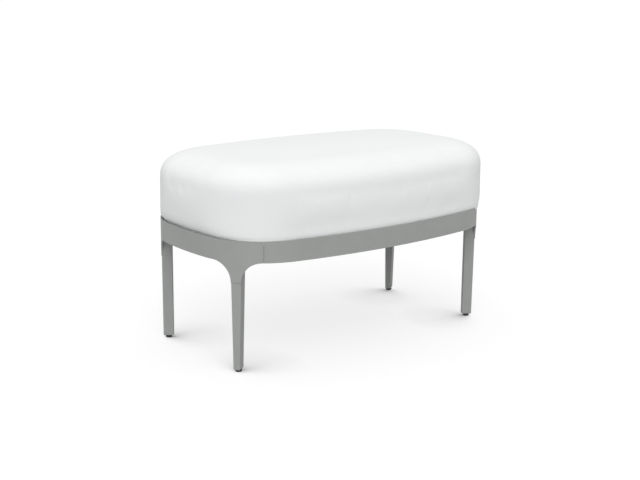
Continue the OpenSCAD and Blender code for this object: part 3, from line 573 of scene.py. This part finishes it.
def oval(inset, scale=1.0, under=0.0):
    """The cushion's outline drawn in by inset, and by under more at its ends than at its sides."""
    ring = []
    for centre, radius, angle in quarter:
        way = Vector((math.cos(angle), math.sin(angle)))
        ring.append((centre + (radius - inset - under * way.x ** 4) * way) * scale)
    ring = (ring + [Vector((-p.x, p.y)) for p in ring[-2::-1]]
            + [Vector((-p.x, -p.y)) for p in ring[1:]] + [Vector((p.x, -p.y)) for p in ring[-2:0:-1]])
    return [Vector((p.x + off_x, p.y + off_y)) for p in ring]


base, crown_z, edge_z = 0.2925, 0.4622, 0.4568
tuck, under_cut, run, drop, square_up = 0.002, 0.014, 0.114, 0.058, 0.8
ring_gap, spare_n, low_n, wall_n, edge_n, top_n = 0.0025, 6, 16, 8, 16, 14
rings, levels = [], []
for i in range(-spare_n, low_n + 1):
    levels.append(base + ring_gap * i)
    rings.append(oval(tuck * (1 - math.sin(math.pi / 2 / low_n * max(i, 0)))))
rise = edge_z - drop - levels[-1]
for i in range(1, wall_n):
    rings.append(oval(0))
    levels.append(base + ring_gap * low_n + rise * i / wall_n)
for i in range(edge_n + 1):
    turn = math.pi / 2 * i / edge_n
    rings.append(oval(run * (1 - math.cos(turn) ** square_up)))
    levels.append(edge_z - drop * (1 - math.sin(turn) ** square_up))
for i in range(1, top_n):
    rings.append(oval(run, 1 - i / top_n))
    levels.append(crown_z - (crown_z - edge_z) * (1 - i / top_n) ** 2)
bm = bmesh.new()
loops = [[bm.verts.new((p.x, p.y, z)) for p in ring] for ring, z in zip(rings, levels)]
count = len(loops[0])
for a, b in zip(loops, loops[1:]):
    for i in range(count):
        bm.faces.new((a[i], a[(i + 1) % count], b[(i + 1) % count], b[i]))
top = bm.verts.new((off_x, off_y, crown_z))
for i in range(count):
    bm.faces.new((loops[-1][i], loops[-1][(i + 1) % count], top))
bm.faces.new(loops[0])
bmesh.ops.recalc_face_normals(bm, faces=bm.faces)
mesh = bpy.data.meshes.new("cushion_form")
bm.to_mesh(mesh)
bm.free()
cushion = bpy.data.objects.new("cushion_form", mesh)
scene.collection.objects.link(cushion)
bpy.ops.object.select_all(action="DESELECT")
cushion.select_set(True)
bpy.context.view_layer.objects.active = cushion
remesh = cushion.modifiers.new("remesh", "REMESH")
remesh.mode = "VOXEL"
remesh.voxel_size = 0.0055
bpy.ops.object.modifier_apply(modifier=remesh.name)
smooth = cushion.modifiers.new("smooth", "SMOOTH")
smooth.iterations = 2
smooth.factor = 0.5
bpy.ops.object.modifier_apply(modifier=smooth.name)
puff_z, puff_rise, most_puff, puff_frames = 0.31, 0.05, 0.004, 20
start = [v.co.copy() for v in cushion.data.vertices]
cloth = cushion.modifiers.new("cloth", "CLOTH")
cloth.settings.use_pressure = True
cloth.settings.uniform_pressure_force = 4
cloth.settings.effector_weights.gravity = 0
for frame_number in range(1, puff_frames + 1):
    scene.frame_set(frame_number)
bpy.ops.object.modifier_apply(modifier=cloth.name)
scene.frame_set(1)
for v, p in zip(cushion.data.vertices, start):
    step = (v.co - p) * min(max((p.z - puff_z) / puff_rise, 0), 1)
    v.co = p + step * (most_puff / (most_puff + step.length))
even = cushion.modifiers.new("even", "SMOOTH")
even.iterations = 2
even.factor = 0.5
bpy.ops.object.modifier_apply(modifier=even.name)
for v in cushion.data.vertices:
    v.co.z = max(v.co.z, base)
bpy.ops.object.mode_set(mode="EDIT")
bpy.ops.mesh.select_all(action="SELECT")
bpy.ops.mesh.remove_doubles(threshold=0.0015)
bpy.ops.object.mode_set(mode="OBJECT")

# Undercut and weave: the ends draw in towards the rim, and below the row of points nearest the cut
# the side steps inwards. The weave runs straight over the top and down over the edges, so each point
# is unrolled from the top along its own line down the side.
cut_z, cut_reach, half_row = 0.3064, 0.06, 0.0024
side_share, draw_z, drawn, left_fade, right_fade = 0.1, 0.326, 0.007, 12, 4
front_deep, front_half = 0.03, 0.02
front = [v.co for v in cushion.data.vertices if v.co.y < front_deep - half_w and abs(v.co.x) < front_half]
cut_row = min((abs(co.z - cut_z), co.z) for co in front)[1]
edge_len = [0.0]
for i in range(edge_n):
    a, b = math.pi / 2 * i / edge_n, math.pi / 2 * (i + 1) / edge_n
    in_step = math.cos(a) ** square_up - abs(math.cos(b)) ** square_up
    up_step = math.sin(b) ** square_up - math.sin(a) ** square_up
    edge_len.append(edge_len[-1] + math.hypot(run * in_step, drop * up_step))
spread = []
for v in cushion.data.vertices:
    p = Vector((abs(v.co.x - off_x), abs(v.co.y - off_y)))
    past = p - corner_c
    if past.x > 0 and past.y > 0 and end_ang < math.atan2(past.y, past.x) < side_ang:
        centre, radius = corner_c, corner_r
    elif past.x > 0 and past.y * math.cos(end_ang) < past.x * math.sin(end_ang):
        centre, radius = end_c, end_r
    else:
        centre, radius = side_c, side_r
    out = p - centre
    inset = radius - out.length
    way = out.normalized()
    step_in = 0
    if v.co.z < cut_row - half_row and inset < cut_reach:
        step_in = under_cut * max(way.x ** 4, side_share) * (1 - max(inset, 0) / cut_reach)
    elif v.co.z < draw_z and inset < cut_reach:
        at_end = way.x ** (left_fade if v.co.x < off_x else right_fade)
        step_in = drawn * at_end * ((draw_z - v.co.z) / (draw_z - cut_z)) ** 2
        if abs(v.co.z - cut_row) < half_row:
            v.co.z = cut_z
    v.co.x -= math.copysign(step_in * way.x, v.co.x - off_x)
    v.co.y -= math.copysign(step_in * way.y, v.co.y - off_y)
    if inset < run and out.length > 0:
        if v.co.z > edge_z - drop:
            up, out_by = max(v.co.z - edge_z + drop, 0) / drop, max(run - inset, 0) / run
            turn = math.atan2(up ** (1 / square_up), out_by ** (1 / square_up)) / (math.pi / 2) * edge_n
            step = min(int(turn), edge_n - 1)
            far = edge_len[-1] - (edge_len[step] + (edge_len[step + 1] - edge_len[step]) * (turn - step))
        else:
            far = edge_len[-1] + edge_z - drop - v.co.z
        p = centre + way * (radius - run + far)
    spread.append((math.copysign(p.x, v.co.x - off_x), math.copysign(p.y, v.co.y - off_y)))
cover_map = cushion.data.uv_layers.new(name="unrolled")
for corner in cushion.data.loops:
    cover_map.data[corner.index].uv = spread[corner.vertex_index]
finer = cushion.modifiers.new("finer", "SUBSURF")
finer.levels = 1
finer.render_levels = 1
finer.uv_smooth = "SMOOTH_ALL"
bpy.ops.object.modifier_apply(modifier=finer.name)
bpy.ops.object.shade_smooth()
cushion.data.materials.append(cover_weave)
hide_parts("cushion_cover", "fibre_wrap", "foam_core")
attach(cushion, "cushion")

# Base panel: the same cloth, sewn in below with a narrow folded welt, with a slit for the zip and a
# row of stitches on each side of it.
flat_weave = cover_cloth("base_weave", False)
low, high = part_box("zip_tape")
zip_y = (low.y + high.y) / 2
slit, slit_w = 0.26, 0.006
panel_in, panel_drop, panel_half, panel_edge = 0.0035, 0.00145, 0.00045, 0.0003
welt_in, welt_drop, welt_r = 0.0022, 0.0008, 0.0013


def cut_out(name, outlines, half, edge, spot):
    """A flat piece with these outlines, twice half thick within its round edge, laid at this spot."""
    sheet = bpy.data.curves.new(name, "CURVE")
    sheet.dimensions = "2D"
    sheet.fill_mode = "BOTH"
    for points in outlines:
        line = sheet.splines.new("POLY")
        line.points.add(len(points) - 1)
        for place, (x, y) in zip(line.points, points):
            place.co = (x, y, 0, 1)
        line.use_cyclic_u = True
    sheet.extrude = half
    sheet.bevel_depth = edge
    sheet.bevel_resolution = 2
    bpy.ops.object.select_all(action="DESELECT")
    piece = bpy.data.objects.new(name, sheet)
    scene.collection.objects.link(piece)
    piece.select_set(True)
    bpy.context.view_layer.objects.active = piece
    bpy.ops.object.convert(target="MESH")
    piece.location = spot
    bpy.ops.object.transform_apply(location=True, rotation=True, scale=True)
    return piece


slit_line = []
for sx, sy, turns in (
    (1, 1, range(0, 91, 15)),
    (-1, 1, range(90, -1, -15)),
    (-1, -1, range(15, 91, 15)),
    (1, -1, range(90, 0, -15)),
):
    for turn in turns:
        x = slit - slit_w + slit_w * math.cos(math.radians(turn))
        slit_line.append((sx * x, zip_y + sy * slit_w * math.sin(math.radians(turn))))
panel_line = oval(tuck + panel_in, 1, under_cut)
panel = cut_out("base_cloth", (panel_line, slit_line), panel_half, panel_edge, (0, 0, base - panel_drop))
bpy.ops.object.shade_smooth_by_angle(angle=math.radians(40))
panel.data.materials.append(flat_weave)

bpy.ops.object.select_all(action="DESELECT")
welt_curve = bpy.data.curves.new("base_welt", "CURVE")
welt_curve.dimensions = "3D"
spline = welt_curve.splines.new("POLY")
points = oval(tuck + welt_in, 1, under_cut)
spline.points.add(len(points) - 1)
for place, p in zip(spline.points, points):
    place.co = (p.x, p.y, base - welt_drop, 1)
spline.use_cyclic_u = True
welt_curve.bevel_depth = welt_r
welt_curve.bevel_resolution = 3
welt = bpy.data.objects.new("base_welt", welt_curve)
scene.collection.objects.link(welt)
welt.select_set(True)
bpy.context.view_layer.objects.active = welt
bpy.ops.object.convert(target="MESH")
bpy.ops.object.shade_smooth()
welt.data.materials.append(flat_weave)

stitch_r, stitch_len, stitch_gap, stitch_n = 0.00025, 0.0026, 0.0036, 145
seam_off, stitch_drop, stitch_edge = 0.0085, 0.0021, 0.0001
bpy.ops.object.select_all(action="DESELECT")
bpy.ops.mesh.primitive_cylinder_add(
    vertices=6, radius=stitch_r, depth=stitch_len, rotation=(0, math.pi / 2, 0))
stitch = bpy.context.object
stitch.name = "stitch"
bpy.ops.object.transform_apply(location=True, rotation=True, scale=True)
bpy.ops.object.mode_set(mode="EDIT")
bpy.ops.mesh.select_all(action="SELECT")
bpy.ops.mesh.bevel(offset=stitch_edge, segments=1, affect="EDGES")
bpy.ops.object.mode_set(mode="OBJECT")
places = []
for side in (-1, 1):
    for i in range(stitch_n):
        x = (i - stitch_n // 2) * stitch_gap
        places.append(Matrix.Translation((x, zip_y + side * seam_off, base - stitch_drop)))
stitches = lay_out(stitch, places, "slit_stitches")
bpy.ops.object.shade_smooth_by_angle(angle=math.radians(50))
thread = bpy.data.materials.new("sewing_thread")
thread.use_nodes = True
tree = thread.node_tree
shader = tree.nodes["Principled BSDF"]
shader.inputs["Roughness"].default_value = 0.6
coord = tree.nodes.new("ShaderNodeTexCoord")
ply = tree.nodes.new("ShaderNodeTexWave")
ply.bands_direction = "DIAGONAL"
ply.inputs["Scale"].default_value = 900
tree.links.new(coord.outputs["Object"], ply.inputs["Vector"])
shade = tree.nodes.new("ShaderNodeValToRGB")
shade.color_ramp.elements[0].color = (0.7, 0.7, 0.69, 1)
shade.color_ramp.elements[1].color = (0.86, 0.86, 0.85, 1)
tree.links.new(ply.outputs["Fac"], shade.inputs["Fac"])
tree.links.new(shade.outputs["Color"], shader.inputs["Base Color"])
stitches.data.materials.clear()
stitches.data.materials.append(thread)
for piece in (panel, welt, stitches):
    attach(piece, "cushion")
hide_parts("base_panel")

# Zip: two woven tapes on the inside of the slit, and a chain of moulded teeth that lock between them.
# Teeth and tapes are boxes with soft edges, and the teeth of one side stand between those of the other.
tape_size, tape_off, tape_edge = (0.546, 0.0108, 0.0008), 0.0076, 0.0002
tooth_size, tooth_gap, tooth_n = (0.0009, 0.0032, 0.0017), 0.0016, 323
tooth_off, tooth_sink, tooth_edge = 0.0012, 0.0002, 0.0003
low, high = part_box("zip_tape")
tape_z = high.z - tape_size[2]


def soft_box(name, spot, size, edge, steps, nose=0.0):
    """A box with soft edges; nose, if given, narrows its +X end to that share of its width."""
    bpy.ops.object.select_all(action="DESELECT")
    bpy.ops.mesh.primitive_cube_add(size=1, location=spot, scale=size)
    box = bpy.context.object
    box.name = name
    bpy.ops.object.transform_apply(location=True, rotation=True, scale=True)
    if nose:
        for v in box.data.vertices:
            if v.co.x > spot[0]:
                v.co.y = spot[1] + (v.co.y - spot[1]) * nose
    bpy.ops.object.mode_set(mode="EDIT")
    bpy.ops.mesh.select_all(action="SELECT")
    bpy.ops.mesh.bevel(offset=edge, segments=steps, affect="EDGES")
    bpy.ops.object.mode_set(mode="OBJECT")
    return box


tooth = soft_box("tooth", (0, 0, 0), tooth_size, tooth_edge, 1)
tapes = []
for side in (-1, 1):
    spot = (0, zip_y + side * tape_off, tape_z + tape_size[2] / 2)
    tape = soft_box("tape", spot, tape_size, tape_edge, 2)
    tape.data.materials.append(flat_weave)
    tapes.append(tape)
places = []
for side in (-1, 1):
    for i in range(tooth_n):
        x = (i - tooth_n // 2) * tooth_gap + side * tooth_gap / 4
        places.append(Matrix.Translation((x, zip_y + side * tooth_off, tape_z - tooth_sink)))
chain = lay_out(tooth, places, "zip_chain")
resin = bpy.data.materials.new("white_resin")
resin.use_nodes = True
tree = resin.node_tree
shader = tree.nodes["Principled BSDF"]
coord = tree.nodes.new("ShaderNodeTexCoord")
cloud = tree.nodes.new("ShaderNodeTexNoise")
cloud.inputs["Scale"].default_value = 500
tree.links.new(coord.outputs["Object"], cloud.inputs["Vector"])
shade = tree.nodes.new("ShaderNodeValToRGB")
shade.color_ramp.elements[0].color = (0.74, 0.74, 0.72, 1)
shade.color_ramp.elements[1].color = (0.84, 0.84, 0.82, 1)
tree.links.new(cloud.outputs["Fac"], shade.inputs["Fac"])
tree.links.new(shade.outputs["Color"], shader.inputs["Base Color"])
gloss = tree.nodes.new("ShaderNodeMapRange")
gloss.inputs["To Min"].default_value = 0.3
gloss.inputs["To Max"].default_value = 0.45
tree.links.new(cloud.outputs["Fac"], gloss.inputs["Value"])
tree.links.new(gloss.outputs["Result"], shader.inputs["Roughness"])
chain.data.materials.clear()
chain.data.materials.append(resin)
bpy.ops.object.select_all(action="DESELECT")
for tape in tapes:
    tape.select_set(True)
bpy.context.view_layer.objects.active = tapes[0]
bpy.ops.object.join()
tapes = bpy.context.object
tapes.name = "zip_tapes"
for piece in (tapes, chain):
    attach(piece, "cushion")
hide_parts("zip_tape")

# Zip slider: a zinc plated body, narrower in front, with a bridge below it, and a flat pull on the
# bridge with a round-ended hole.
low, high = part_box("zip_slider")
body_size, bridge_size, bridge_sink = (0.012, 0.009, 0.0018), (0.007, 0.0022, 0.0013), 0.0023
pull_ends, hole_ends = (0.003, 0.023, 0.0027), (0.0155, 0.0225, 0.0014)
pull_half, pull_edge, pull_rise = 0.0002, 0.0002, 0.0005
body_edge, body_nose, bridge_edge = 0.0006, 0.75, 0.0005
body_x = low.x + body_size[0] / 2
body_z, bridge_z = high.z - body_size[2] / 2, high.z - bridge_sink
body = soft_box("body", (body_x, zip_y, body_z), body_size, body_edge, 3, nose=body_nose)
bridge = soft_box("bridge", (body_x, zip_y, bridge_z), bridge_size, bridge_edge, 3)
outlines = []
for x0, x1, r in (pull_ends, hole_ends):
    outlines.append([])
    for x, start in ((x1, -90), (x0, 90)):
        for turn in range(start, start + 181, 15):
            angle = math.radians(turn)
            outlines[-1].append((x + r * math.cos(angle), r * math.sin(angle)))
pull = cut_out("pull", outlines, pull_half, pull_edge, (body_x, zip_y, low.z + pull_rise))
for part in (body, bridge, pull):
    part.select_set(True)
bpy.context.view_layer.objects.active = body
bpy.ops.object.join()
slider = bpy.context.object
slider.name = "zip_slider_body"
bpy.ops.object.shade_smooth_by_angle(angle=math.radians(40))
slider.data.materials.clear()
slider.data.materials.append(zinc)
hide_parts("zip_slider")
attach(slider, "zip_pull")
